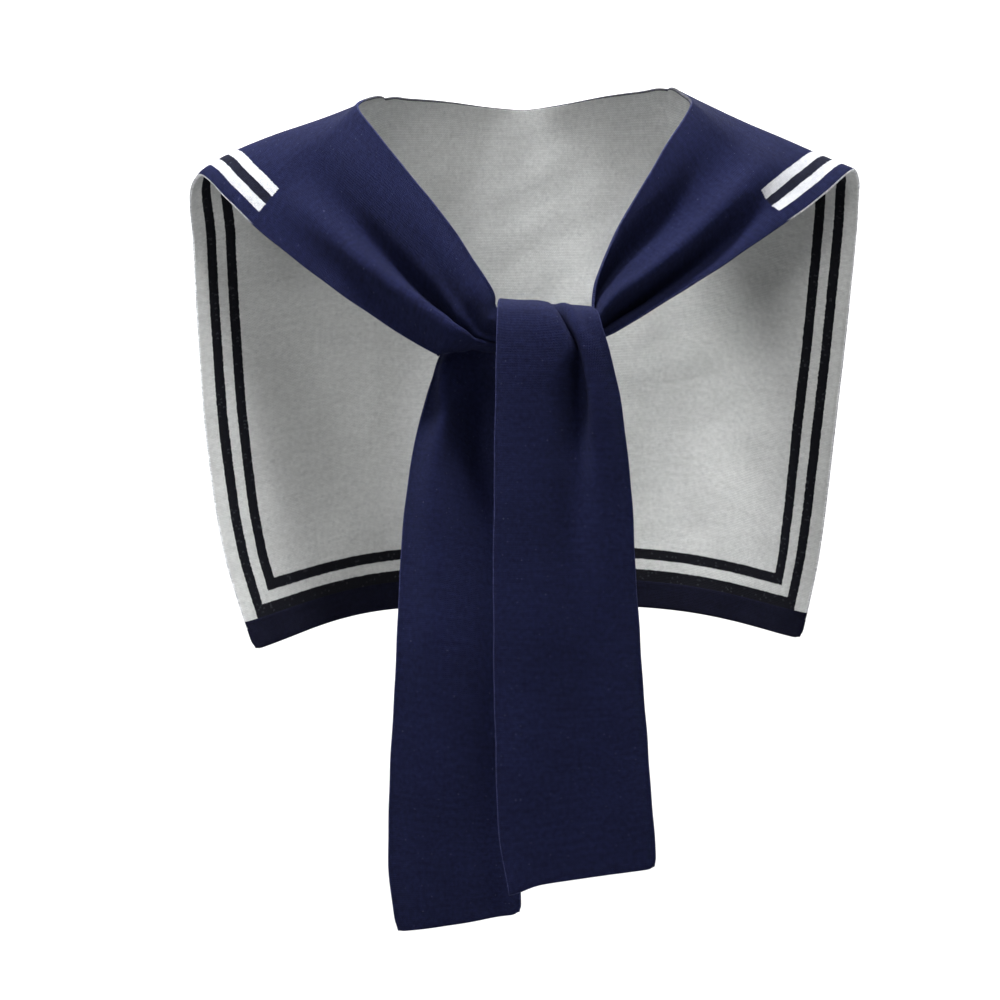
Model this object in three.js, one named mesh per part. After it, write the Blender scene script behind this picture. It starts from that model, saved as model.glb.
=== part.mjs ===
// A knitted sailor collar, tied: a back cape with a hem band, and two long arms
// that come over the shoulders, cross in a half knot and hang down the front.
// Millimetres, +Z up, +X to the viewer's right, +Y away from the viewer.
// The origin is the middle of the neck opening, where the collar sits on a neck.
import * as THREE from "three";
import { mergeVertices } from "three/addons/utils/BufferGeometryUtils.js";

// ---------------------------------------------------------------- sizes
const KNIT = 2.4;        // thickness of the double knit
const HEM_KNIT = 3.2;    // thickness of the tubular hem band
const HEM = 18;          // height of the hem band
const GAP = 0.4;         // gap left between neighbouring pieces
const RIDGE = 322;       // length of the cape from the hem to the shoulder fold
const SHOULDER = 60;     // length over which the shoulder's roundness runs out
const NAVY = 0x25294a;
const DARK = 0x14131f;

// The cloth is measured along its length: t is the distance from the hem, up
// the cape and then down each arm. A row gives one section across the cloth.

// cape: outer left, mid left, centre, mid right and outer right point
const CAPE_COLUMNS = ["t", "lx", "ly", "lz", "ax", "ay", "az", "cx", "cy", "cz", "bx", "by", "bz", "rx", "ry", "rz"];
const CAPE = [
  [   0, -171,   18, -345,  -98,   64, -323,    0,   76, -318,  101,   64, -322,  175,   18, -338],
  [  60, -190,   22, -285,  -98,   68, -263,    0,   79, -257,  101,   68, -263,  187,   22, -282],
  [ 130, -202,   26, -215,  -98,   70, -193,    0,   80, -188,  100,   70, -193,  197,   26, -212],
  [ 200, -208,   27, -145,  -98,   68, -122,    0,   78, -119,   99,   68, -122,  205,   27, -143],
  [ 260, -211,   25,  -86,  -97,   64,  -63,    0,   72,  -61,   97,   64,  -63,  210,   25,  -85],
  [ 300, -212,   17,  -60,  -93,   57,  -21,    0,   66,  -19,   94,   57,  -19,  211,   17,  -57],
  [ 311, -209,   10,  -52,  -91,   48,   -4,    0,   64,   -8,   93,   48,   -1,  210,   10,  -49],
  [ 322, -202,    2,  -47,  -89,   34,    7,    0,   62,    3,   91,   34,   12,  206,    2,  -44],
  [ 345, -185,  -13,  -63,  -98,   17,    4,    0,   58,   25,   99,   17,    6,  187,  -13,  -60],
];

// arms: inner edge point a and outer edge point b of each section, with the
// fold across it: a ridge and a valley, each with its place between a and b
// (0 to 1), its half width (share of the section) and its height
const ARM_COLUMNS = ["t", "ax", "ay", "az", "bx", "by", "bz",
  "ridgeAt", "ridgeWide", "ridge", "valleyAt", "valleyWide", "valley"];
const LEFT_ARM = [
  [ 311,  -91,   48,   -4, -209,   10,  -52, 0.72, 0.15,  0, 0.47, 0.13,   0],
  [ 322,  -89,   34,    7, -202,    2,  -47, 0.72, 0.15,  0, 0.47, 0.13,   0],
  [ 345,  -98,   17,    4, -185,  -13,  -63, 0.72, 0.15,  0, 0.47, 0.13,   0],
  [ 366, -104,    1,   -4, -166,  -23,  -82, 0.72, 0.15,  1, 0.48, 0.13,  -1],
  [ 400,  -88,  -20,  -28, -138,  -33, -105, 0.72, 0.11,  5, 0.52, 0.13,  -5],
  [ 440,  -65,  -36,  -57, -106,  -44, -128, 0.73, 0.09,  8, 0.57, 0.11,  -9],
  [ 480,  -44,  -49,  -86,  -76,  -53, -150, 0.75, 0.08,  8, 0.62, 0.10, -10],
  [ 508,  -30,  -57, -108,  -57,  -59, -160, 0.76, 0.08,  8, 0.65, 0.08,  -9],
  [ 515,  -26,  -59, -113,  -53,  -60, -163, 0.77, 0.08,  8, 0.66, 0.08,  -9],
  [ 521,  -21,  -61, -121,  -47,  -58, -163, 0.79, 0.08,  7, 0.68, 0.08,  -8],
  [ 527,  -18,  -62, -127,  -43,  -58, -162, 0.81, 0.08,  6, 0.70, 0.08,  -7],
  [ 533,  -18,  -62, -134,  -38,  -57, -162, 0.83, 0.08,  5, 0.71, 0.08,  -7],
  [ 545,   -9,  -66, -140,  -28,  -58, -162, 0.86, 0.08,  4, 0.74, 0.08,  -6],
  [ 575,   12,  -71, -143,   -7,  -65, -165, 0.90, 0.10,  1, 0.77, 0.08,  -3],
  [ 598,   28,  -68, -153,   14,  -67, -179, 0.90, 0.10,  0, 0.78, 0.08,   0],
  [ 615,   38,  -55, -161,   25,  -54, -187, 0.90, 0.10,  0, 0.78, 0.08,   0],
  [ 632,   35,  -36, -165,   23,  -36, -190, 0.90, 0.10,  0, 0.78, 0.08,   0],
  [ 655,   20,  -22, -160,    9,  -22, -189, 0.90, 0.10,  0, 0.78, 0.08,   0],
  [ 685,    0,  -19, -156,   -9,  -19, -188, 0.90, 0.10,  0, 0.78, 0.08,   0],
];
const RIGHT_ARM = [
  [ 311,   93,   48,   -1,  210,   10,  -49, 0.62, 0.15,  0, 0.80, 0.10,   0],
  [ 322,   91,   34,   12,  206,    2,  -44, 0.62, 0.15,  0, 0.80, 0.10,   0],
  [ 345,   99,   17,    6,  187,  -13,  -60, 0.62, 0.14,  1, 0.80, 0.10,   0],
  [ 366,  103,    1,   -3,  168,  -23,  -74, 0.63, 0.13,  3, 0.81, 0.10,  -2],
  [ 400,   88,  -20,  -28,  141,  -33,  -93, 0.64, 0.11,  6, 0.83, 0.10,  -8],
  [ 440,   71,  -34,  -58,  110,  -42, -114, 0.66, 0.10,  8, 0.84, 0.09, -11],
  [ 480,   54,  -45,  -88,   79,  -50, -134, 0.63, 0.09,  8, 0.84, 0.09, -11],
  [ 515,   42,  -52, -117,   55,  -54, -148, 0.50, 0.10,  7, 0.80, 0.09,  -8],
  [ 529,   40,  -54, -132,   46,  -55, -153, 0.47, 0.11,  5, 0.78, 0.09,  -5],
  [ 534,   40,  -54, -136,   43,  -55, -154, 0.46, 0.11,  4, 0.77, 0.09,  -4],
  [ 545,   29,  -54, -142,   37,  -54, -158, 0.45, 0.12,  3, 0.76, 0.10,  -3],
  [ 575,    3,  -50, -142,   18,  -51, -169, 0.45, 0.12,  1, 0.75, 0.10,  -1],
  [ 605,  -24,  -42, -143,    3,  -43, -182, 0.12, 0.08,  0, 0.60, 0.24,   0],
  [ 635,  -51,  -36, -158,   -4,  -39, -197, 0.12, 0.08,  3, 0.58, 0.24,  -7],
  [ 648,  -57,  -37, -174,   -4,  -41, -205, 0.16, 0.08,  4, 0.58, 0.23, -12],
  [ 660,  -61,  -39, -185,   -5,  -43, -214, 0.20, 0.08,  4, 0.59, 0.23, -13],
  [ 700,  -69,  -47, -222,   -5,  -50, -238, 0.23, 0.12,  5, 0.67, 0.22, -12],
  [ 760,  -75,  -56, -279,   -4,  -59, -286, 0.28, 0.17,  4, 0.80, 0.25,  -9],
  [ 820,  -78,  -66, -343,   -4,  -69, -350, 0.29, 0.19,  3, 0.82, 0.25,  -8],
  [ 880,  -81,  -67, -409,   -4,  -70, -420, 0.30, 0.20,  2, 0.84, 0.25,  -7],
  [ 940,  -83,  -67, -469,   -4,  -69, -470, 0.30, 0.20,  2, 0.84, 0.21,  -5],
  [ 975,  -78,  -66, -509,   -3,  -68, -499, 0.30, 0.20,  1, 0.84, 0.20,  -4],
];
// the left arm's free end: up behind the knot, over it and down the front.
// a is its right edge and b its left edge, the valley is the pleat at its right
const FRONT_END = [
  [ 700,   34,  -34, -158,  -13,  -34, -158, 0.68, 0.22,  0, 0.40, 0.08,   0],
  [ 716,   35,  -35, -146,  -14,  -35, -144, 0.68, 0.22,  0, 0.40, 0.08,   0],
  [ 730,   36,  -46, -135,  -15,  -46, -132, 0.68, 0.22,  0, 0.40, 0.08,   0],
  [ 743,   38,  -62, -134,  -16,  -62, -130, 0.68, 0.22,  1, 0.38, 0.08,  -2],
  [ 757,   43,  -77, -139,  -17,  -77, -136, 0.68, 0.22,  2, 0.35, 0.08,  -6],
  [ 769,   46,  -84, -148,  -18,  -84, -146, 0.68, 0.22,  2, 0.31, 0.08,  -9],
  [ 787,   50,  -86, -162,  -18,  -87, -162, 0.68, 0.21,  2, 0.27, 0.08,  -8],
  [ 817,   56,  -86, -191,  -19,  -87, -191, 0.68, 0.20,  3, 0.28, 0.09, -12],
  [ 865,   62,  -85, -238,  -19,  -87, -238, 0.68, 0.20,  3, 0.37, 0.10,  -5],
  [ 937,   66,  -84, -309,  -20,  -87, -309, 0.70, 0.22,  3, 0.42, 0.11,  -2],
  [1015,   72,  -82, -386,  -19,  -86, -389, 0.70, 0.23,  2, 0.42, 0.13,  -1],
  [1075,   76,  -81, -441,  -16,  -85, -452, 0.70, 0.24,  2, 0.42, 0.14,  -1],
  [1100,   77,  -80, -469,  -11,  -84, -480, 0.70, 0.24,  2, 0.42, 0.14,  -1],
];

// ---------------------------------------------------------------- curves
// a smooth value between the rows of a table, for the column with this name
function along(table, columns, name, t) {
  const c = columns.indexOf(name);
  let i = 0;
  while (i < table.length - 2 && t > table[i + 1][0]) i += 1;
  const slope = (k) => {
    const p = table[Math.max(k - 1, 0)], q = table[Math.min(k + 1, table.length - 1)];
    return (q[c] - p[c]) / (q[0] - p[0]);
  };
  const h = table[i + 1][0] - table[i][0], f = (t - table[i][0]) / h, g = 1 - f;
  return g * g * (1 + 2 * f) * table[i][c] + f * f * (1 + 2 * g) * table[i + 1][c]
    + h * f * g * (g * slope(i) - f * slope(i + 1));
}
const fade = (x) => { const f = Math.min(Math.max(x, 0), 1); return f * f * (3 - 2 * f); };
const bump = (x) => Math.exp(-x * x);
const point = (table, columns, t, p) =>
  new THREE.Vector3(...["x", "y", "z"].map((axis) => along(table, columns, p + axis, t)));

// ---------------------------------------------------------------- surfaces
// the cape: s runs from -1, its left edge, to 1, its right edge
const KNOTS = [-1, -0.45, 0, 0.45, 1];
function cape(s, t) {
  const pts = ["l", "a", "c", "b", "r"].map((p) => point(CAPE, CAPE_COLUMNS, t, p));
  const rows = pts.map((p, i) => [KNOTS[i], p.x, p.y, p.z]);
  const place = point(rows, ["s", "px", "py", "pz"], s, "p");
  // the neckline runs straight from corner to corner, the left shoulder swells
  const i = s < KNOTS[1] ? 0 : s < KNOTS[2] ? 1 : s < KNOTS[3] ? 2 : 3;
  const f = (s - KNOTS[i]) / (KNOTS[i + 1] - KNOTS[i]);
  const inward = Math.min(Math.max((1 - Math.abs(s)) / 0.55, 0), 1);
  const swell = (s < 0 ? 22 * inward ** 0.6 * (1 - inward) ** 1.5 : 0)
    + 1.9 * Math.sin(Math.PI * Math.min(Math.abs(s) / 0.45, 1) ** 1.5);
  place.z += fade((t - 262) / 60) * (pts[i].z * (1 - f) + pts[i + 1].z * f + swell - place.z);
  // soft upright waves, growing towards the hem
  const wave = (1 - t / RIDGE) * bump((Math.abs(s) - 0.55) * 3);
  place.y += 3 * wave * Math.sin(9 * s + 0.6);
  return place;
}

// an arm: u runs from 0, its inner edge, to 1, its outer edge
function arm(table, side, u, t) {
  const a = point(table, ARM_COLUMNS, t, "a"), b = point(table, ARM_COLUMNS, t, "b");
  const place = a.clone().lerp(b, u);
  const ahead = point(table, ARM_COLUMNS, t + 1, "a").lerp(point(table, ARM_COLUMNS, t + 1, "b"), u);
  const behind = point(table, ARM_COLUMNS, t - 1, "a").lerp(point(table, ARM_COLUMNS, t - 1, "b"), u);
  const out = ahead.sub(behind).cross(b.clone().sub(a)).normalize().multiplyScalar(side);
  const value = (name) => along(table, ARM_COLUMNS, name, t);
  place.addScaledVector(out, value("ridge") * bump((u - value("ridgeAt")) / value("ridgeWide"))
    + value("valley") * bump((u - value("valleyAt")) / value("valleyWide")));
  return place;
}

// the arms start with the cape's own section at the shoulder fold
function shoulderArm(table, side, u, t) {
  const place = arm(table, side, u, t);
  const s = side * (0.45 + 0.55 * u);
  const a = point(table, ARM_COLUMNS, RIDGE, "a"), b = point(table, ARM_COLUMNS, RIDGE, "b");
  const rise = cape(s, RIDGE).sub(a.lerp(b, u));
  return place.addScaledVector(rise, 1 - fade((t - RIDGE) / SHOULDER));
}

// ---------------------------------------------------------------- solids
// A closed sheet around the middle surface at(p, q), p along the first list of
// stations and q along the second. turn = 1 or -1 gives the side faced outwards.
function sheet(at, ps, qs, thickness, turn) {
  const n = ps.length, m = qs.length;
  const mid = ps.map((p) => qs.map((q) => at(p, q)));
  const normalAt = (p, q) => {
    const along1 = at(p + 0.004, q).sub(at(p - 0.004, q));
    const along2 = at(p, q + 0.8).sub(at(p, q - 0.8));
    return along1.cross(along2).normalize();
  };
  const position = [], index = [];
  for (const face of [1, -1]) {
    for (let i = 0; i < n; i += 1) {
      for (let j = 0; j < m; j += 1) {
        const p = mid[i][j].clone().addScaledVector(normalAt(ps[i], qs[j]), face * turn * thickness / 2);
        position.push(p.x, p.y, p.z);
      }
    }
  }
  const id = (face, i, j) => (face * n + i) * m + j;
  const quad = (a, b, c, d) => index.push(...(turn > 0 ? [a, b, c, a, c, d] : [a, c, b, a, d, c]));
  for (let i = 0; i < n - 1; i += 1) {
    for (let j = 0; j < m - 1; j += 1) {
      quad(id(0, i, j), id(0, i + 1, j), id(0, i + 1, j + 1), id(0, i, j + 1));
      quad(id(1, i, j), id(1, i, j + 1), id(1, i + 1, j + 1), id(1, i + 1, j));
    }
  }
  for (let i = 0; i < n - 1; i += 1) {
    quad(id(0, i, 0), id(1, i, 0), id(1, i + 1, 0), id(0, i + 1, 0));
    quad(id(0, i, m - 1), id(0, i + 1, m - 1), id(1, i + 1, m - 1), id(1, i, m - 1));
  }
  for (let j = 0; j < m - 1; j += 1) {
    quad(id(0, 0, j), id(0, 0, j + 1), id(1, 0, j + 1), id(1, 0, j));
    quad(id(0, n - 1, j), id(1, n - 1, j), id(1, n - 1, j + 1), id(0, n - 1, j + 1));
  }
  const geometry = new THREE.BufferGeometry();
  geometry.setAttribute("position", new THREE.Float32BufferAttribute(position, 3));
  geometry.setIndex(index);
  const closed = mergeVertices(geometry, 1e-4);
  closed.computeVertexNormals();
  return closed;
}

const stations = (from, to, count) => Array.from({ length: count + 1 }, (_, i) => from + (to - from) * i / count);

const collar = new THREE.Group();
function add(name, geometry, colour) {
  const mesh = new THREE.Mesh(geometry, new THREE.MeshStandardMaterial({ color: colour, roughness: 0.95, metalness: 0 }));
  mesh.name = name;
  collar.add(mesh);
}

const width = stations(0, 1, 12);
const outer = width.map((u) => 0.45 + 0.55 * u);   // the same stations on the cape
const across = [...outer.map((s) => -s).reverse(), ...stations(-0.45, 0.45, 10).slice(1, -1), ...outer];
add("hem_band", sheet(cape, across, stations(0, HEM, 2), HEM_KNIT, -1), DARK);
add("back_cape", sheet(cape, across,
  [...stations(HEM + GAP, 290, 12), ...stations(300, RIDGE, 3)], KNIT, -1), NAVY);
add("left_lapel", sheet((u, t) => shoulderArm(LEFT_ARM, -1, u, t), width,
  stations(RIDGE + GAP, 596, 22), KNIT, 1), NAVY);
add("knot_wrap", sheet((u, t) => arm(LEFT_ARM, -1, u, t), stations(0, 1, 5),
  stations(596 + GAP, 685, 10), KNIT, 1), NAVY);
add("right_lapel", sheet((u, t) => shoulderArm(RIGHT_ARM, 1, u, t), width,
  stations(RIDGE + GAP, 575, 20), KNIT, -1), NAVY);
add("rear_tail", sheet((u, t) => arm(RIGHT_ARM, 1, u, t), width,
  stations(575 + GAP, 975, 24), KNIT, -1), NAVY);
add("front_tail", sheet((u, t) => arm(FRONT_END, -1, u, t), width,
  [...stations(700, 787, 12), ...stations(803, 1100, 16)], KNIT, 1), NAVY);

export default collar;
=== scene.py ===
import math

import bpy
import numpy as np
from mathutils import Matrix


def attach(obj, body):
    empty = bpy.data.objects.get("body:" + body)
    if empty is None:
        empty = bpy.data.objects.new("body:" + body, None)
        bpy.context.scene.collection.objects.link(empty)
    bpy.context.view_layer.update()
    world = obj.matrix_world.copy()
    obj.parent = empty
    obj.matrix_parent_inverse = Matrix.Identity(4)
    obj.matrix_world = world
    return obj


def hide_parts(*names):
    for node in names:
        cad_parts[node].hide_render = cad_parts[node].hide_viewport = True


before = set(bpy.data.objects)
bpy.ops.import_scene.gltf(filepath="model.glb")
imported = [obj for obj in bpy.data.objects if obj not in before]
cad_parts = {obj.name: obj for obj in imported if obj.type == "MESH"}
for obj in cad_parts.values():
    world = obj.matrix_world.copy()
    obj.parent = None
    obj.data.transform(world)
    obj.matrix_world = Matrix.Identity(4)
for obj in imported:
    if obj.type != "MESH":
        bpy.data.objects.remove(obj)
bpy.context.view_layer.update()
MM = 0.001

# ------------------------------------------------------------------ sizes (mm)
KNIT = 2.2            # thickness of the double knit
HEM_KNIT = 3.2        # thickness of the tubular hem band
HEM = 18.0            # height of the hem band
RIDGE = 322.0         # cape length from the hem to the shoulder fold
SHOULDER = 60.0       # length over which the shoulder's roundness runs out
NECK = 0.45           # where the neck opening ends, between centre and edge
HALF_FLAT = 200.0     # half the width of the flat cape
HALF_NECK = 103.0     # half the width of the neck opening in the flat cloth
STRIPE_END = 368.0    # the white stripes end here, in front of the shoulder
STRIPES = [(8.8, 15.2, 10.0, 25.2), (21.6, 28.2, 32.0, 38.8)]  # from the side, from the hem
WALE, COURSE = 1.35, 1.05   # one stitch, across and along

# ------------------------------------------------------------------ tables (mm)
# t, then points: outer left, mid left, centre, mid right, outer right
CAPE = np.array([
    [0, -171.0, 18, -345.0, -98.2, 64, -322.8, 0, 76, -318.1, 100.8, 64, -322.1, 174.8, 18, -338.0],
    [60, -190.2, 22, -284.8, -98.4, 68, -263.0, 0, 79, -256.6, 101.0, 68, -263.0, 187.2, 22, -281.7],
    [130, -201.9, 26, -215.1, -98.5, 70, -192.6, 0, 80, -187.7, 99.8, 70, -192.6, 196.6, 26, -211.9],
    [200, -207.6, 27, -145.1, -98.4, 68, -122.3, 0, 78, -118.9, 99.0, 68, -122.3, 204.7, 27, -143.2],
    [260, -210.6, 25, -86.2, -96.7, 64, -63.0, 0, 72, -60.6, 97.4, 64, -63.0, 210.4, 25, -85.0],
    [300, -211.7, 17, -60.5, -93.0, 57, -20.8, 0, 66, -19.0, 94.2, 57, -18.9, 211.2, 17, -57.2],
    [311, -209.0, 10, -51.5, -90.8, 48, -4.5, 0, 64, -7.5, 92.7, 48, -1.0, 210.4, 10, -49.0],
    [322, -202.1, 2, -47.2, -88.8, 34, 5.8, 0, 62, 3.2, 91.3, 34, 11.6, 205.6, 2, -43.8],
    [345, -185.4, -13, -63.4, -98.0, 17, 3.6, 0, 58, 25.0, 98.6, 17, 6.4, 186.6, -13, -59.7],
], float)
# t, inner edge point, outer edge point
LEFT = np.array([
    [311, -90.8, 48, -4.5, -209.0, 10, -51.5],
    [322, -88.8, 34, 5.8, -202.1, 2, -47.2],
    [345, -98.0, 17, 3.6, -185.4, -13, -63.4],
    [366, -103.8, 1, -4.2, -166.3, -23, -81.8],
    [400, -87.6, -20, -28.4, -138.3, -33, -104.9],
    [440, -65.4, -36, -56.9, -106.4, -44, -128.4],
    [480, -43.6, -49, -85.8, -75.5, -53, -149.7],
    [508, -29.6, -57, -107.6, -57.4, -58.6, -160.0],
    [515, -25.9, -59, -113.4, -52.9, -60, -162.8],
    [521, -21.4, -61, -120.6, -47.0, -58.5, -163.0],
    [527, -18.2, -62, -127.2, -42.6, -57.8, -162.4],
    [533, -17.6, -62.5, -133.8, -38.2, -57.4, -162.0],
    [545, -9.0, -66, -139.6, -28.5, -57.5, -161.5],
    [575, 11.9, -71, -143.1, -7.2, -65, -165.0],
    [598, 28.1, -68, -153.1, 13.8, -67, -179.3],
    [615, 38.0, -55, -161.3, 24.8, -54, -187.2],
    [632, 35.0, -36, -165.0, 23.0, -36, -190.0],
    [655, 20.0, -22, -160.0, 9.0, -22, -189.0],
    [685, 0.0, -19, -156.5, -9.0, -19, -188.5],
], float)
RIGHT = np.array([
    [311, 92.7, 48, -1.0, 210.4, 10, -49.0],
    [322, 91.3, 34, 11.6, 205.6, 2, -43.8],
    [345, 98.6, 17, 6.4, 186.6, -13, -59.7],
    [366, 103.2, 1, -3.0, 167.6, -23, -74.4],
    [400, 88.3, -20, -28.4, 140.8, -33, -93.3],
    [440, 71.0, -34, -57.9, 110.2, -42, -113.7],
    [480, 54.1, -45, -87.8, 78.7, -50, -133.8],
    [515, 42.3, -52, -117.0, 55.0, -54, -148.5],
    [529, 40.3, -54, -131.6, 45.9, -55, -152.8],
    [534, 39.7, -54, -136.4, 43.2, -55, -154.5],
    [545, 29.0, -54, -141.5, 36.8, -54, -157.6],
    [575, 3.0, -50, -142.4, 17.5, -51, -169.0],
    [605, -24.3, -42, -143.2, 3.0, -43, -182.1],
    [635, -51.2, -36, -158.3, -3.6, -39, -196.7],
    [648, -57.4, -37, -173.5, -4.2, -41, -205.2],
    [660, -60.9, -39, -185.2, -4.8, -43, -213.7],
    [700, -69.3, -47, -221.7, -4.8, -50, -238.0],
    [760, -75.4, -56, -278.8, -4.5, -59, -286.0],
    [820, -77.9, -66, -342.9, -4.2, -69, -350.5],
    [880, -81.4, -67, -408.7, -3.9, -70, -420.3],
    [940, -82.6, -67, -468.6, -3.6, -69, -470.1],
    [975, -78.0, -66, -509.0, -2.8, -68, -499.0],
], float)
FRONT = np.array([
    [700, 34.0, -34, -158.5, -16.0, -34, -158.5],
    [716, 34.6, -35, -145.5, -16.8, -35, -144.0],
    [730, 35.6, -46, -135.0, -17.4, -46, -132.4],
    [743, 38.4, -62, -134.4, -16.5, -62, -130.2],
    [757, 42.8, -77, -138.7, -17.3, -77, -135.6],
    [769, 45.6, -84, -147.6, -17.5, -84, -146.4],
    [787, 49.7, -86, -162.5, -18.0, -87, -162.5],
    [817, 55.9, -86, -190.9, -18.6, -87, -190.9],
    [865, 61.8, -85, -238.2, -19.2, -87, -238.2],
    [937, 66.0, -84, -309.2, -19.8, -87, -309.1],
    [1015, 71.5, -82, -386.4, -18.6, -86, -389.0],
    [1075, 75.7, -81, -441.1, -16.0, -85, -452.4],
    [1100, 77.4, -80, -469.0, -11.3, -84, -480.0],
], float)

# folds: one table each, with columns t, place across the cloth (0 inner edge
# to 1 outer edge), height (mm), half width (share of the cloth), and lean (mm,
# how far the fold tips towards the outer edge)
LEFT_FOLDS = [
    # the deep valley that runs into the knot
    [[355, 0.47, 0, 0.13, 0], [384, 0.50, -4, 0.13, 0], [413, 0.545, -8, 0.12, 0], [437, 0.565, -11, 0.115, 0],
     [461, 0.595, -13.5, 0.11, 0], [491, 0.625, -14.5, 0.105, 0], [511, 0.645, -13.5, 0.10, 0], [534, 0.70, -10, 0.085, 0],
     [560, 0.76, -6, 0.07, 0], [590, 0.78, 0, 0.07, 0]],
    # the ridge below it, which leans over the valley
    [[366, 0.72, 0, 0.15, 0], [388, 0.72, 4, 0.12, 0], [412, 0.715, 6.5, 0.10, 0], [437, 0.73, 9, 0.09, -1],
     [457, 0.735, 10, 0.085, -2.5], [476, 0.745, 10.5, 0.08, -4.5], [495, 0.755, 10.5, 0.08, -6],
     [515, 0.77, 10, 0.08, -7], [536, 0.845, 6, 0.08, -5], [560, 0.90, 3, 0.08, -2], [590, 0.90, 0, 0.10, 0]],
    # the lower edge, turned under
    [[366, 1.0, 0, 0.20, 0], [400, 1.0, -2, 0.20, 0], [440, 1.0, -5, 0.18, 0], [480, 1.0, -7, 0.16, 0],
     [515, 1.0, -8, 0.13, 0], [530, 1.0, -8, 0.14, 0], [545, 1.0, -8, 0.14, 0], [575, 1.0, -7, 0.15, -2],
     [598, 1.0, -3, 0.15, 0], [615, 1.0, 0, 0.15, 0]],
    # a short second fold beside the knot
    [[488, 0.50, 0, 0.08, 0], [506, 0.54, 1.5, 0.08, 0], [520, 0.58, 2.2, 0.07, 0], [536, 0.62, 2, 0.07, 0],
     [550, 0.65, 1, 0.08, 0], [575, 0.68, 0, 0.08, 0]],
    [[485, 0.40, 0, 0.06, 0], [508, 0.42, -1, 0.08, 0], [525, 0.45, -2, 0.08, 0], [545, 0.50, -2, 0.08, 0],
     [575, 0.60, 0, 0.06, 0]],
    # the soft swell of the inner band
    [[360, 0.16, 0, 0.16, 0], [420, 0.17, 1.5, 0.16, 0], [480, 0.20, 4, 0.16, 0], [530, 0.22, 4.5, 0.17, 0],
     [575, 0.20, 2, 0.16, 0], [598, 0.20, 0, 0.16, 0]],
]
RIGHT_FOLDS = [
    # the long ridge
    [[335, 0.62, 0, 0.14, 0], [361, 0.625, 2.5, 0.12, 0], [397, 0.64, 5, 0.10, 0], [430, 0.66, 7, 0.09, 0],
     [454, 0.655, 8, 0.085, 0], [481, 0.625, 8, 0.085, 0], [514, 0.50, 7, 0.10, 0], [545, 0.45, 3, 0.12, 0],
     [590, 0.45, 0, 0.12, 0]],
    # the deep valley below it
    [[350, 0.80, 0, 0.10, 0], [383, 0.82, -6, 0.10, 0], [413, 0.835, -10, 0.10, 0], [439, 0.845, -12, 0.095, 0],
     [462, 0.85, -13, 0.09, 0], [484, 0.845, -12, 0.085, 0], [511, 0.80, -9, 0.085, 0], [545, 0.76, -3, 0.10, 0],
     [590, 0.75, 0, 0.10, 0]],
    # the strip along the outer edge, turned up
    [[350, 0.99, 0, 0.09, 0], [383, 0.98, 1, 0.09, 0], [440, 0.98, 1.5, 0.08, 0], [511, 0.98, 1, 0.08, 0],
     [545, 0.98, 0, 0.08, 0]],
    # the hollow beside the inner edge
    [[345, 0.34, 0, 0.18, 0], [383, 0.36, -5, 0.18, 0], [413, 0.37, -8, 0.17, 0], [440, 0.36, -10, 0.16, 0],
     [480, 0.30, -11, 0.14, 0], [514, 0.22, -9, 0.12, 0], [545, 0.16, -3, 0.10, 0], [575, 0.12, 0, 0.10, 0]],
    # the tail: its left side turned back at the top, the crest beside it, and a hollow beside the front tail
    [[612, 0.0, 0, 0.09, 0], [635, 0.0, -9, 0.10, 0], [653, 0.02, -12, 0.12, 0], [668, 0.03, -12, 0.13, 0],
     [685, 0.0, -8, 0.12, 0], [710, 0.0, -4, 0.10, 0], [760, 0.0, -1.5, 0.10, 0], [975, 0.0, -1, 0.10, 0]],
    [[612, 0.10, 0, 0.06, 0], [641, 0.12, 4, 0.05, -2], [653, 0.18, 6, 0.06, -2], [668, 0.225, 7, 0.07, 0],
     [686, 0.23, 7, 0.09, 0], [710, 0.24, 5, 0.13, 0], [760, 0.28, 4, 0.17, 0], [850, 0.30, 3, 0.20, 0],
     [975, 0.30, 1.5, 0.20, 0]],
    [[622, 0.60, 0, 0.24, 0], [636, 0.58, -9, 0.24, 0], [652, 0.58, -17, 0.23, 0], [671, 0.60, -20, 0.23, 0],
     [694, 0.66, -19, 0.23, 0], [723, 0.74, -15, 0.24, 0], [760, 0.80, -12, 0.24, 0], [850, 0.84, -11, 0.24, 0],
     [920, 0.84, -9, 0.22, 0], [975, 0.84, -7, 0.20, 0]],
]
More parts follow.
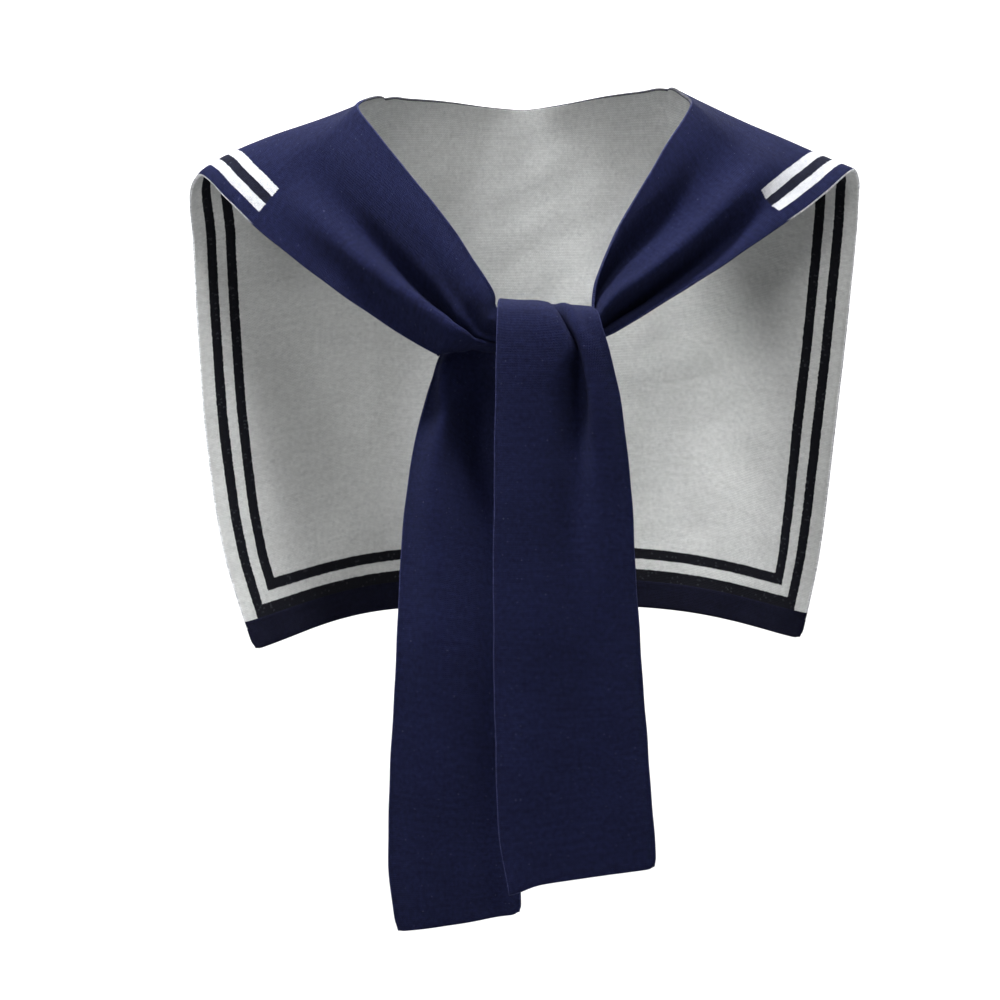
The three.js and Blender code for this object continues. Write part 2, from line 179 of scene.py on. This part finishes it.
FRONT_FOLDS = [
    # the pleat near its right edge: a short tuck under the knot, then the deep part
    [[736, 0.40, 0, 0.04, 0], [747, 0.38, -3, 0.045, 0], [757, 0.35, -7, 0.045, 0], [769, 0.305, -11, 0.045, 0],
     [778, 0.275, -11, 0.045, 0], [786, 0.265, -6, 0.06, 0], [796, 0.295, -13, 0.09, 0], [815, 0.335, -15, 0.12, 0],
     [835, 0.36, -13.5, 0.125, 0], [859, 0.385, -8, 0.125, 0], [900, 0.42, -3.5, 0.12, 0], [960, 0.42, -1.5, 0.12, 0],
     [1100, 0.42, -1, 0.14, 0]],
    # the strip beside the pleat, which leans over it
    [[738, 0.32, 0, 0.06, 0], [757, 0.27, 3, 0.055, 2], [769, 0.22, 4, 0.055, 4], [782, 0.17, 4.5, 0.055, 5],
     [804, 0.15, 5, 0.058, 6], [829, 0.175, 4.5, 0.062, 5], [845, 0.22, 3, 0.08, 2], [870, 0.26, 1.5, 0.10, 0],
     [920, 0.26, 1, 0.12, 0], [1000, 0.26, 0, 0.12, 0]],
    # the broad swell of the left part
    [[720, 0.68, 0, 0.22, 0], [757, 0.68, 1.5, 0.22, 0], [830, 0.68, 3, 0.20, 0], [930, 0.70, 3, 0.22, 0],
     [1100, 0.70, 2, 0.24, 0]],
    # both edges roll back a little
    [[750, 1.0, 0, 0.06, 0], [790, 1.0, -1.6, 0.06, 0], [1100, 1.0, -1.4, 0.06, 0]],
    [[750, 0.0, 0, 0.08, 0], [790, 0.0, -2.5, 0.08, 0], [900, 0.0, -2, 0.08, 0], [1100, 0.0, -1.4, 0.08, 0]],
]
# corners: t, place, half size along (mm) and across (share), then the shift in x, y and z (mm)
FRONT_CORNERS = [[1100, 1.0, 13, 0.14, 1.0, -3, -4], [1100, 0.0, 3, 0.03, -1.0, 0, 1.2]]
RIGHT_CORNERS = [[975, 0.0, 4, 0.04, 1.2, 0, 0.8], [975, 1.0, 4, 0.045, -1.2, 0, 1.8]]
CAPE_CORNERS = [[0, -1.0, 3.5, 0.02, 1.2, 0, 1.5], [0, 1.0, 3.5, 0.02, -1.2, 0, 1.5]]


# ------------------------------------------------------------------ curves
def rows(table, t):
    """Smooth values between a table's rows, for every column, at the stations t."""
    table = np.asarray(table, float)
    t = np.atleast_1d(np.asarray(t, float))
    x, v = table[:, 0], table[:, 1:]
    n = len(x)
    i = np.clip(np.searchsorted(x, t, side="right") - 1, 0, n - 2)
    slope = np.empty_like(v)
    slope[1:-1] = (v[2:] - v[:-2]) / (x[2:] - x[:-2])[:, None]
    slope[0] = (v[1] - v[0]) / (x[1] - x[0])
    slope[-1] = (v[-1] - v[-2]) / (x[-1] - x[-2])
    h = (x[i + 1] - x[i])[:, None]
    f = (t - x[i])[:, None] / h
    g = 1 - f
    return g * g * (1 + 2 * f) * v[i] + f * f * (1 + 2 * g) * v[i + 1] + h * f * g * (g * slope[i] - f * slope[i + 1])


def fade(x):
    f = np.clip(x, 0.0, 1.0)
    return f * f * (3 - 2 * f)


def unit(v):
    return v / np.maximum(np.linalg.norm(v, axis=-1, keepdims=True), 1e-12)


KNOTS = np.array([-1, -NECK, 0, NECK, 1.0])


def section(points, s):
    """Points of shape (n, 5, 3) joined across the cape by a smooth curve at the places s."""
    n = len(points)
    table = np.column_stack([KNOTS, points.transpose(1, 0, 2).reshape(5, -1)])
    return rows(table, s).reshape(len(s), n, 3).transpose(1, 0, 2)


def ripple(x, t):
    """Fine unevenness of the cloth (mm), at x across the flat cloth and t along it."""
    return (0.30 * np.sin(x / 9.1 + t / 31 + 1.0) + 0.24 * np.sin(x / 5.7 - t / 43 + 2.3)
            + 0.24 * np.sin(t / 12.3 + x / 26) + 0.12 * np.sin(t / 5.1 - x / 11 + 0.7))


def corners(list_of_corners, p, place, t):
    """Round or pull out the corners of a grid of points."""
    for at, across, tall, wide, dx, dy, dz in list_of_corners:
        near = np.exp(-((t[:, None] - at) / tall) ** 2 - ((place[None, :] - across) / wide) ** 2)
        p = p + near[..., None] * np.array([dx, dy, dz], float)
    return p


def cape(s, t):
    """The cape's middle surface, shape (len(t), len(s), 3)."""
    s, t = np.asarray(s, float), np.asarray(t, float)
    points = rows(CAPE, t).reshape(-1, 5, 3)
    p = section(points, s)
    # the neckline runs straight from corner to corner, the left shoulder swells
    straight = np.stack([np.interp(s, KNOTS, points[k, :, 2]) for k in range(len(t))])
    f = np.clip((1 - np.abs(s)) / (1 - NECK), 0, 1)
    swell = 22 * f ** 0.6 * (1 - f) ** 1.5 * (s < 0) + 1.9 * np.sin(np.pi * np.clip(np.abs(s) / NECK, 0, 1) ** 1.5)
    swell = swell + 1.1 * np.exp(-((NECK - np.abs(s) - 0.03) / 0.03) ** 2) * (np.abs(s) <= NECK)
    near = fade((t - 262) / 60)[:, None]
    p[..., 2] += near * (straight + swell[None, :] - p[..., 2])
    down = np.clip(1 - t / RIDGE, 0, 1)[:, None]
    side = np.exp(-((np.abs(s) - 0.55) * 3) ** 2)[None, :]
    p[..., 1] += 3 * down * side * np.sin(9 * s + 0.6)[None, :]
    p[..., 1] += 1.6 * down * np.sin(17 * s + 1.1 + 0.004 * t[:, None]) * (1 - s[None, :] ** 8)
    x = flat_x(s)[None, :]
    p[..., 1] += 1.3 * ripple(x, t[:, None])
    p[..., 1] += 0.5 * np.exp(-t[:, None] / 26) * np.sin(x / 4.3 + 1.5 * np.sin(x / 31))
    return corners(CAPE_CORNERS, p, s, t)


def flat_x(s):
    s = np.asarray(s, float)
    k = np.abs(s)
    inner = HALF_NECK * k / NECK
    outer = HALF_NECK + (HALF_FLAT - HALF_NECK) * (k - NECK) / (1 - NECK)
    return np.sign(s) * np.where(k <= NECK, inner, outer)


def folds(list_of_folds, u, t):
    """Height and lean of the folds on an arm, shape (len(t), len(u))."""
    height = np.zeros((len(t), len(u)))
    lean = np.zeros((len(t), len(u)))
    for table in list_of_folds:
        table = np.asarray(table, float)
        at = rows(table, np.clip(t, table[0, 0], table[-1, 0]))
        place, tall, wide, tip = (at[:, k][:, None] for k in range(4))
        shape = np.exp(-((u[None, :] - place) / wide) ** 2)
        height += tall * shape
        lean += tip * shape
    return height, lean


def arm(table, fold_list, side, u, t, corner_list=()):
    """An arm's middle surface. side is -1 for the left arm and 1 for the right."""
    u, t = np.asarray(u, float), np.asarray(t, float)
    ab = rows(table, t)
    a, b = ab[:, None, :3], ab[:, None, 3:]
    # the knitted edges are not ruler straight
    off = fade((t - RIDGE) / 40) * (0.0018 * np.sin(t / 11) + 0.0012 * np.sin(t / 5.3 + 2 + side))
    w = (u[None, :] + off[:, None] * np.abs(2 * u[None, :] - 1) ** 3)[..., None]
    p = a * (1 - w) + b * w
    d = rows(table, t + 1) - rows(table, t - 1)
    ahead = d[:, None, :3] * (1 - w) + d[:, None, 3:] * w
    across = unit(b - a)
    out = side * unit(np.cross(ahead, b - a))
    height, lean = folds(fold_list, u, t)
    x = side * (HALF_NECK + (HALF_FLAT - HALF_NECK) * u)
    height = height + 0.8 * ripple(x[None, :], t[:, None]) * fade((t - RIDGE) / SHOULDER)[:, None]
    return corners(corner_list, p + out * height[..., None] + across * lean[..., None], u, t)


def shoulder_arm(table, fold_list, side, u, t, corner_list=()):
    """The same, starting with the cape's own section at the shoulder fold."""
    p = arm(table, fold_list, side, u, t, corner_list)
    s = side * (NECK + (1 - NECK) * np.asarray(u, float))
    w = np.asarray(u, float)[None, :, None]

    def rise(at):
        ab = rows(table, [at])
        return cape(s, [at]) - (ab[:, None, :3] * (1 - w) + ab[:, None, 3:] * w)

    first = rise(RIDGE)
    change = (rise(RIDGE + 1) - rise(RIDGE - 1)) / 2
    off = (np.asarray(t, float) - RIDGE)[:, None, None]
    return p + (first + change * np.minimum(off, 25)) * (1 - fade(off / SHOULDER))


# ------------------------------------------------------------------ meshes
def thicken(name, points, quads, knit_uv, stripe_uv, thickness, materials):
    """A closed sheet with a rounded rim, around a middle surface of quads that
    face the outside of the cloth. Materials: outside, inside, rim."""
    p = np.asarray(points, float)
    q = np.asarray(quads, int)
    r = thickness / 2
    face_n = np.cross(p[q[:, 2]] - p[q[:, 0]], p[q[:, 3]] - p[q[:, 1]])
    normal = np.zeros_like(p)
    for k in range(4):
        np.add.at(normal, q[:, k], face_n)
    normal = unit(normal)
    edges = np.concatenate([q[:, [0, 1]], q[:, [1, 2]], q[:, [2, 3]], q[:, [3, 0]]])
    have = {(a, b) for a, b in edges.tolist()}
    border = [(a, b) for a, b in edges.tolist() if (b, a) not in have]
    outward = np.zeros_like(p)
    for a, b in border:
        o = np.cross(p[b] - p[a], normal[a] + normal[b])
        o = o / max(np.linalg.norm(o), 1e-12)
        outward[a] += o
        outward[b] += o
    outward = unit(outward)
    n = len(p)
    angles = [66, 42, 14, -14, -42, -66]
    inset = p - outward * r
    verts = [inset + normal * r, inset - normal * r]
    rim_ids = sorted({a for e in border for a in e})
    slot_of = {v: k for k, v in enumerate(rim_ids)}
    base = 2 * n
    rim = np.array(rim_ids)
    for angle in angles:
        c, s = math.cos(math.radians(angle)), math.sin(math.radians(angle))
        verts.append(inset[rim] + outward[rim] * r * c + normal[rim] * r * s)
    verts = np.concatenate(verts)
    source = np.concatenate([np.arange(n), np.arange(n)] + [rim] * len(angles))
    faces = [tuple(f) for f in q.tolist()] + [tuple(n + i for i in reversed(f)) for f in q.tolist()]
    kinds = [0] * len(q) + [1] * len(q)
    m = len(rim_ids)

    def ring(v, level):
        if level == 0:
            return v
        if level == len(angles) + 1:
            return n + v
        return base + (level - 1) * m + slot_of[v]

    for a, b in border:
        for level in range(len(angles) + 1):
            faces.append((ring(b, level), ring(a, level), ring(a, level + 1), ring(b, level + 1)))
            kinds.append(0 if level == 0 else 1 if level == len(angles) else 2)
    mesh = bpy.data.meshes.new(name)
    mesh.from_pydata((verts * MM).tolist(), [], faces)
    for material in materials:
        mesh.materials.append(material)
    mesh.polygons.foreach_set("material_index", kinds)
    mesh.polygons.foreach_set("use_smooth", [True] * len(faces))
    loops = np.empty(len(mesh.loops), int)
    mesh.loops.foreach_get("vertex_index", loops)
    for label, data in (("knit", knit_uv), ("stripe", stripe_uv)):
        layer = mesh.uv_layers.new(name=label)
        layer.data.foreach_set("uv", (np.asarray(data)[source][loops] * MM).ravel())
    mesh.update()
    obj = bpy.data.objects.new(name, mesh)
    bpy.context.scene.collection.objects.link(obj)
    return obj


def grid_quads(ids):
    """Quads of a grid of vertex numbers of shape (t, s), facing outside."""
    a, b, c, d = ids[:-1, :-1], ids[1:, :-1], ids[1:, 1:], ids[:-1, 1:]
    return np.stack([a, b, c, d], axis=-1).reshape(-1, 4)


def edge_distance(p):
    """Length along each section from its first column."""
    step = np.linalg.norm(np.diff(p, axis=1), axis=2)
    return np.concatenate([np.zeros((len(p), 1)), np.cumsum(step, axis=1)], axis=1)


def cape_uv(p, s, t):
    d = edge_distance(p)
    near = np.minimum(d, d[:, -1:] - d)
    knit = np.stack(np.broadcast_arrays(flat_x(s)[None, :], t[:, None]), axis=-1)
    stripe = np.stack(np.broadcast_arrays(near, t[:, None]), axis=-1)
    return knit, stripe


def arm_uv(p, side, u, t):
    """u runs along the columns in the order that p has them."""
    d = edge_distance(p)
    far = d if u[0] > u[-1] else d[:, -1:] - d
    x = side * (HALF_NECK + (HALF_FLAT - HALF_NECK) * u)
    knit = np.stack(np.broadcast_arrays(x[None, :], t[:, None]), axis=-1)
    # the stripes end a little sooner on the left than on the right
    end = t - 5 * side * fade((t - RIDGE) / 30)
    stripe = np.stack(np.broadcast_arrays(far, end[:, None]), axis=-1)
    return knit, stripe


# ------------------------------------------------------------------ materials
class Nodes:
    """A small helper to write node trees as expressions."""

    def __init__(self, name):
        self.material = bpy.data.materials.new(name)
        self.material.use_nodes = True
        self.tree = self.material.node_tree
        self.tree.nodes.clear()
        self.out = self.tree.nodes.new("ShaderNodeOutputMaterial")
        self.shader = self.tree.nodes.new("ShaderNodeBsdfPrincipled")
        self.tree.links.new(self.shader.outputs[0], self.out.inputs[0])

    def put(self, socket, value):
        if isinstance(value, bpy.types.NodeSocket):
            self.tree.links.new(value, socket)
        else:
            socket.default_value = value

    def math(self, op, a, b=None, c=None, clamp=False):
        node = self.tree.nodes.new("ShaderNodeMath")
        node.operation = op
        node.use_clamp = clamp
        for k, v in enumerate((a, b, c)):
            if v is not None:
                self.put(node.inputs[k], v)
        return node.outputs[0]

    def mix(self, factor, a, b, blend="MIX"):
        node = self.tree.nodes.new("ShaderNodeMix")
        node.data_type = "RGBA"
        node.blend_type = blend
        self.put(node.inputs["Factor"], factor)
        self.put(node.inputs[6], a)
        self.put(node.inputs[7], b)
        return node.outputs[2]

    def uv(self, name):
        node = self.tree.nodes.new("ShaderNodeUVMap")
        node.uv_map = name
        split = self.tree.nodes.new("ShaderNodeSeparateXYZ")
        self.tree.links.new(node.outputs[0], split.inputs[0])
        return node.outputs[0], split.outputs[0], split.outputs[1]

    def combine(self, x, y, z=0.0):
        node = self.tree.nodes.new("ShaderNodeCombineXYZ")
        for k, v in enumerate((x, y, z)):
            self.put(node.inputs[k], v)
        return node.outputs[0]

    def noise(self, vector, scale, detail=2.0, rough=0.5):
        node = self.tree.nodes.new("ShaderNodeTexNoise")
        self.put(node.inputs["Vector"], vector)
        node.inputs["Scale"].default_value = scale
        node.inputs["Detail"].default_value = detail
        node.inputs["Roughness"].default_value = rough
        return node.outputs[0]

    def cells(self, vector):
        node = self.tree.nodes.new("ShaderNodeTexWhiteNoise")
        node.noise_dimensions = "2D"
        self.put(node.inputs["Vector"], vector)
        return node.outputs[0]

    def ramp(self, value, low, high, out_low=0.0, out_high=1.0, smooth=True):
        node = self.tree.nodes.new("ShaderNodeMapRange")
        node.interpolation_type = "SMOOTHSTEP" if smooth else "LINEAR"
        self.put(node.inputs[0], value)
        for k, v in enumerate((low, high, out_low, out_high)):
            node.inputs[k + 1].default_value = v
        return node.outputs[0]

    def bump(self, height, distance, strength=1.0):
        node = self.tree.nodes.new("ShaderNodeBump")
        node.inputs["Strength"].default_value = strength
        node.inputs["Distance"].default_value = distance
        self.put(node.inputs["Height"], height)
        return node.outputs[0]


def knit_material(name, ground, figure, speck=0.0, speck_colour=(0, 0, 0, 1), stripes=True, sheen=0.03,
                  relief=0.00045, lint=None, arm_colour=None, yarn=None, contrast=1.0, uneven=0.24):
    """Fine double knit: columns of small v stitches, with two stripes knitted in."""
    n = Nodes(name)
    knit, x, y = n.uv("knit")
    # the yarn wanders a little
    wander = n.noise(knit, 420.0, 1.0, 0.6)
    slow = n.noise(knit, 40.0, 1.0, 0.5)
    wx = n.math("MULTIPLY_ADD", n.math("SUBTRACT", wander, 0.5), 0.00050, x)
    wy = n.math("MULTIPLY_ADD", n.math("SUBTRACT", slow, 0.5), 0.0012, y)
    a = n.math("DIVIDE", wx, WALE * MM)
    column = n.math("FLOOR", a)
    m = n.math("MULTIPLY", n.math("ABSOLUTE", n.math("SUBTRACT", n.math("SUBTRACT", a, column), 0.5)), 2.0)
    c = n.math("MULTIPLY_ADD", m, 0.62, n.math("DIVIDE", wy, COURSE * MM))
    row = n.math("FLOOR", c)
    b = n.math("SUBTRACT", c, row)
    leg = n.math("POWER", n.math("SINE", n.math("MULTIPLY", b, math.pi)), 0.7)
    body = n.math("POWER", n.math("MAXIMUM", n.math("SINE", n.math("MULTIPLY", m, math.pi)), 0.0001), 0.5)
    stitch = n.math("MULTIPLY", leg, body)
    cell = n.cells(n.combine(column, row))
    fibre = n.noise(knit, 3200.0, 2.0, 0.65)
    blotch = n.noise(knit, 24.0, 2.0, 0.55)
    mottle = n.noise(knit, 330.0, 2.0, 0.6)
    streak = n.noise(n.combine(n.math("MULTIPLY", x, 0.10), y), 420.0, 2.0, 0.6)
    # colour
    colour = ground
    if arm_colour is not None:
        # the pale yarn shows on the cape's own edge, not on the neckline or further down the arms; down the arms the
        # rim is a lighter navy, and along the neckline it is painted dark grey (0.07) as painted shade
        _, d, h = n.uv("stripe")
        away = n.math("MAXIMUM", n.ramp(h, STRIPE_END * MM - 0.004, STRIPE_END * MM + 0.002), n.ramp(d, 0.02, 0.04))
        colour = n.mix(away, ground, n.mix(n.ramp(h, 0.350, 0.366), (0.07, 0.07, 0.075, 1), arm_colour))
    mask = None
    if stripes:
        _, d, h = n.uv("stripe")
        dj = n.math("MULTIPLY_ADD", n.math("SUBTRACT", cell, 0.5), 0.0004, d)
        hj = n.math("MULTIPLY_ADD", m, 0.0005, n.math("MULTIPLY_ADD", n.math("SUBTRACT", cell, 0.5), 0.0004, h))
        soft = 0.00018

        def past(value, limit):
            return n.ramp(value, limit * MM - soft, limit * MM + soft)

        for d0, d1, h0, h1 in STRIPES:
            box = n.math("MULTIPLY", past(dj, d0), past(hj, h0))
            hole = n.math("MULTIPLY", past(dj, d1), past(hj, h1))
            band = n.math("SUBTRACT", box, hole, clamp=True)
            mask = band if mask is None else n.math("MAXIMUM", mask, band)
        end = n.ramp(hj, STRIPE_END * MM - soft, STRIPE_END * MM + soft, 1.0, 0.0)
        mask = n.math("MULTIPLY", mask, end)
        if yarn is not None:
            # the white yarn lets the ground show between its stitches
            figure = n.mix(n.ramp(cell, 0.55, 0.95, 0.0, 0.24), figure, yarn)
            # the ground between the two stripes is greyer
            near = n.math("MULTIPLY", past(dj, STRIPES[0][1]), past(hj, STRIPES[0][3]))
            far = n.math("MULTIPLY", past(dj, STRIPES[1][0]), past(hj, STRIPES[1][2]))
            gap = n.math("MULTIPLY", n.math("SUBTRACT", near, far, clamp=True), end)
            ground = n.mix(gap, ground, (0.0105, 0.0115, 0.022, 1))
        colour = n.mix(mask, ground, figure)
    if speck:
        # the other yarn shows as small flecks between the stitches
        fleck = n.ramp(cell, 1.0 - speck - 0.02, 1.0 - speck + 0.02)
        fleck = n.math("MULTIPLY", fleck, n.ramp(fibre, 0.42, 0.62, 0.15, 1.0))
        if mask is not None:
            fleck = n.math("MULTIPLY", fleck, n.math("MULTIPLY_ADD", mask, -0.75, 1.0))
        colour = n.mix(n.math("MULTIPLY", fleck, 0.45), colour, speck_colour)
    if lint is not None:
        # a few stray pale fibres
        stray = n.ramp(n.noise(knit, 640.0, 0.0), 0.80, 0.86)
        colour = n.mix(n.math("MULTIPLY", stray, 0.5), colour, lint)
    k = contrast
    # painted shade in the hollows between the stitches, then the yarn's own random tone from cell, fibre, blotch,
    # mottle and streak
    stitch_shade_and_tone = n.ramp(stitch, 0.0, 0.8, 1 - 0.40 * k, 1.0 + 0.08 * k)
    stitch_shade_and_tone = n.math("MULTIPLY", stitch_shade_and_tone, n.ramp(cell, 0.0, 1.0, 1 - 0.07 * k, 1 + 0.07 * k, smooth=False))
    stitch_shade_and_tone = n.math("MULTIPLY", stitch_shade_and_tone, n.ramp(fibre, 0.25, 0.75, 1 - 0.16 * k, 1 + 0.16 * k))
    stitch_shade_and_tone = n.math("MULTIPLY", stitch_shade_and_tone, n.ramp(blotch, 0.3, 0.7, 0.95, 1.05))
    patchy = n.math("MULTIPLY_ADD", n.math("SUBTRACT", streak, 0.5), 0.5, n.math("SUBTRACT", mottle, 0.5))
    patchy = n.math("MULTIPLY", patchy, 5.0 * uneven)
    if mask is not None:
        patchy = n.math("MULTIPLY", patchy, n.math("MULTIPLY_ADD", mask, -0.85, 1.0))
    stitch_shade_and_tone = n.math("MULTIPLY", stitch_shade_and_tone, n.math("ADD", patchy, 1.0))
    grey = n.tree.nodes.new("ShaderNodeCombineColor")
    for channel in range(3):
        n.tree.links.new(stitch_shade_and_tone, grey.inputs[channel])
    colour = n.mix(1.0, colour, grey.outputs[0], "MULTIPLY")
    n.put(n.shader.inputs["Base Color"], colour)
    n.put(n.shader.inputs["Roughness"], n.ramp(fibre, 0.2, 0.8, 0.86, 0.98))
    height = n.math("MULTIPLY_ADD", fibre, 0.35, stitch)
    n.put(n.shader.inputs["Normal"], n.bump(height, relief, 0.9))
    s = n.shader.inputs
    s["Specular IOR Level"].default_value = 0.06
    s["Sheen Weight"].default_value = sheen
    s["Sheen Roughness"].default_value = 0.5
    s["Sheen Tint"].default_value = (0.45, 0.5, 0.9, 1)
    return n.material


NAVY = (0.0098, 0.0122, 0.0450, 1)
DEEP = (0.0070, 0.0073, 0.0095, 1)
PALE = (0.66, 0.67, 0.66, 1)
WHITE = (0.62, 0.63, 0.66, 1)
outside = knit_material("knit_outside", NAVY, WHITE, lint=(0.09, 0.10, 0.17, 1),
                        yarn=(0.16, 0.17, 0.22, 1))
inside = knit_material("knit_inside", PALE, DEEP, speck=0.05, speck_colour=(0.30, 0.31, 0.34, 1), contrast=0.6,
                       uneven=0.08)
edge = knit_material("knit_edge", (0.75, 0.76, 0.78, 1), DEEP, speck=0.35, speck_colour=(0.05, 0.055, 0.12, 1),
                     stripes=False, arm_colour=(0.024, 0.028, 0.080, 1))
hem_knit = knit_material("knit_hem", (0.0050, 0.0054, 0.0150, 1), DEEP, stripes=False)

# ------------------------------------------------------------------ the cloth
arm_cells = 42
left_s = np.linspace(-1, -NECK, arm_cells + 1)
mid_s = np.linspace(-NECK, NECK, 73)[1:-1]
right_s = np.linspace(NECK, 1, arm_cells + 1)
all_s = np.concatenate([left_s, mid_s, right_s])
cape_t = np.concatenate([np.linspace(HEM - 5, 280, 96)[:-1], np.linspace(280, RIDGE, 24)])
left_t = np.concatenate([np.linspace(RIDGE, 380, 30)[1:], np.linspace(380, 685, 116)[1:]])
right_t = np.concatenate([np.linspace(RIDGE, 380, 30)[1:], np.linspace(380, 975, 226)[1:]])
left_u = (-left_s - NECK) / (1 - NECK)
right_u = (right_s - NECK) / (1 - NECK)

p_cape = cape(all_s, cape_t)
p_left = shoulder_arm(LEFT, LEFT_FOLDS, -1, left_u, left_t)
p_right = shoulder_arm(RIGHT, RIGHT_FOLDS, 1, right_u, right_t, RIGHT_CORNERS)
k_cape, s_cape = cape_uv(p_cape, all_s, cape_t)
k_left, s_left = arm_uv(p_left, -1, left_u, left_t)
k_right, s_right = arm_uv(p_right, 1, right_u, right_t)


def joined(*parts):
    return np.concatenate([part.reshape(-1, part.shape[-1]) for part in parts])


cape_ids = np.arange(p_cape.shape[0] * p_cape.shape[1]).reshape(p_cape.shape[:2])
left_ids = cape_ids.size + np.arange(p_left.shape[0] * p_left.shape[1]).reshape(p_left.shape[:2])
right_ids = cape_ids.size + left_ids.size + np.arange(p_right.shape[0] * p_right.shape[1]).reshape(p_right.shape[:2])
left_ids = np.vstack([cape_ids[-1:, :arm_cells + 1], left_ids])
right_ids = np.vstack([cape_ids[-1:, -arm_cells - 1:], right_ids])
quads = np.concatenate([grid_quads(cape_ids), grid_quads(left_ids), grid_quads(right_ids)])
collar = thicken("collar_cloth", joined(p_cape, p_left, p_right), quads, joined(k_cape, k_left, k_right),
                 joined(s_cape, s_left, s_right), KNIT, [outside, inside, edge])

front_u = np.linspace(1, 0, arm_cells + 1)
front_t = np.concatenate([np.linspace(700, 800, 61)[:-1], np.linspace(800, 1100, 121)])
p_front = arm(FRONT, FRONT_FOLDS, -1, front_u, front_t, FRONT_CORNERS)
k_front, s_front = arm_uv(p_front, -1, front_u, front_t)
front_ids = np.arange(p_front.shape[0] * p_front.shape[1]).reshape(p_front.shape[:2])
front = thicken("front_tail_cloth", joined(p_front), grid_quads(front_ids), joined(k_front), joined(s_front),
                KNIT, [outside, inside, edge])

hem_t = np.linspace(0, HEM, 9)
p_hem = cape(all_s, hem_t)
k_hem, s_hem = cape_uv(p_hem, all_s, hem_t)
hem_ids = np.arange(p_hem.shape[0] * p_hem.shape[1]).reshape(p_hem.shape[:2])
hem = thicken("hem_band_cloth", joined(p_hem), grid_quads(hem_ids), joined(k_hem), joined(s_hem), HEM_KNIT,
              [hem_knit, hem_knit, hem_knit])

for piece, nodes, slot in ((collar, ["back_cape", "left_lapel", "knot_wrap", "right_lapel", "rear_tail"], "double_knit"),
                           (front, ["front_tail"], "double_knit"), (hem, ["hem_band"], "hem_knit")):
    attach(piece, "root")
    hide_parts(*nodes)

# ------------------------------------------------------------------ the stage
def plane_material(name, colour):
    n = Nodes(name)
    n.shader.inputs["Base Color"].default_value = colour
    n.shader.inputs["Roughness"].default_value = 0.9
    return n.material


def sweep():
    """A pale floor that turns up into a backdrop."""
    floor, back, radius, half = -1.60, 2.1, 0.9, 5.0
    profile = [(-2.6, floor)]
    for k in range(17):
        a = math.pi / 2 * k / 16
        profile.append((back - radius + radius * math.sin(a), floor + radius - radius * math.cos(a)))
    profile.append((back, 2.4))
    verts = [(x, y, z) for y, z in profile for x in (-half, half)]
    faces = [(2 * k, 2 * k + 1, 2 * k + 3, 2 * k + 2) for k in range(len(profile) - 1)]
    mesh = bpy.data.meshes.new("floor")
    mesh.from_pydata(verts, [], faces)
    mesh.materials.append(plane_material("floor_paint", (0.86, 0.86, 0.86, 1)))
    mesh.polygons.foreach_set("use_smooth", [True] * len(faces))
    obj = bpy.data.objects.new("floor", mesh)
    bpy.context.scene.collection.objects.link(obj)


def lamp(name, place, target, size, power, spread=180, colour=(1, 1, 1)):
    data = bpy.data.lights.new(name, "AREA")
    data.shape = "DISK"
    data.size = size
    data.energy = power
    data.spread = math.radians(spread)
    data.color = colour
    obj = bpy.data.objects.new(name, data)
    bpy.context.scene.collection.objects.link(obj)
    obj.location = place
    from mathutils import Vector
    obj.rotation_euler = (Vector(target) - Vector(place)).to_track_quat("-Z", "Y").to_euler()


sweep()
middle = (0, 0, -0.22)
lamp("key", (-0.42, -0.40, 1.9), middle, 0.60, 8.6, spread=50)
lamp("front", (0.60, -1.30, 1.50), middle, 1.0, 19)
lamp("fill", (-0.75, -1.5, 0.55), middle, 1.2, 11)
lamp("back", (0.0, 1.0, 1.3), (0.0, 2.1, -0.5), 1.8, 78)
lamp("rear", (0.5, 1.5, 0.9), middle, 0.8, 7)
world = bpy.data.worlds.new("studio")
world.use_nodes = True
world.node_tree.nodes["Background"].inputs[0].default_value = (1, 1, 1, 1)
world.node_tree.nodes["Background"].inputs[1].default_value = 0.15
bpy.context.scene.world = world
bpy.context.scene.view_settings.view_transform = "Standard"

camera = bpy.data.cameras.new("camera")
camera.lens = 92.16
camera.sensor_width = 36
camera.clip_end = 20
camera_object = bpy.data.objects.new("camera", camera)
camera_object.location = (-0.015625, -1.6, -0.25)
camera_object.rotation_euler = (math.pi / 2, 0, 0)
bpy.context.scene.collection.objects.link(camera_object)
bpy.context.scene.camera = camera_object
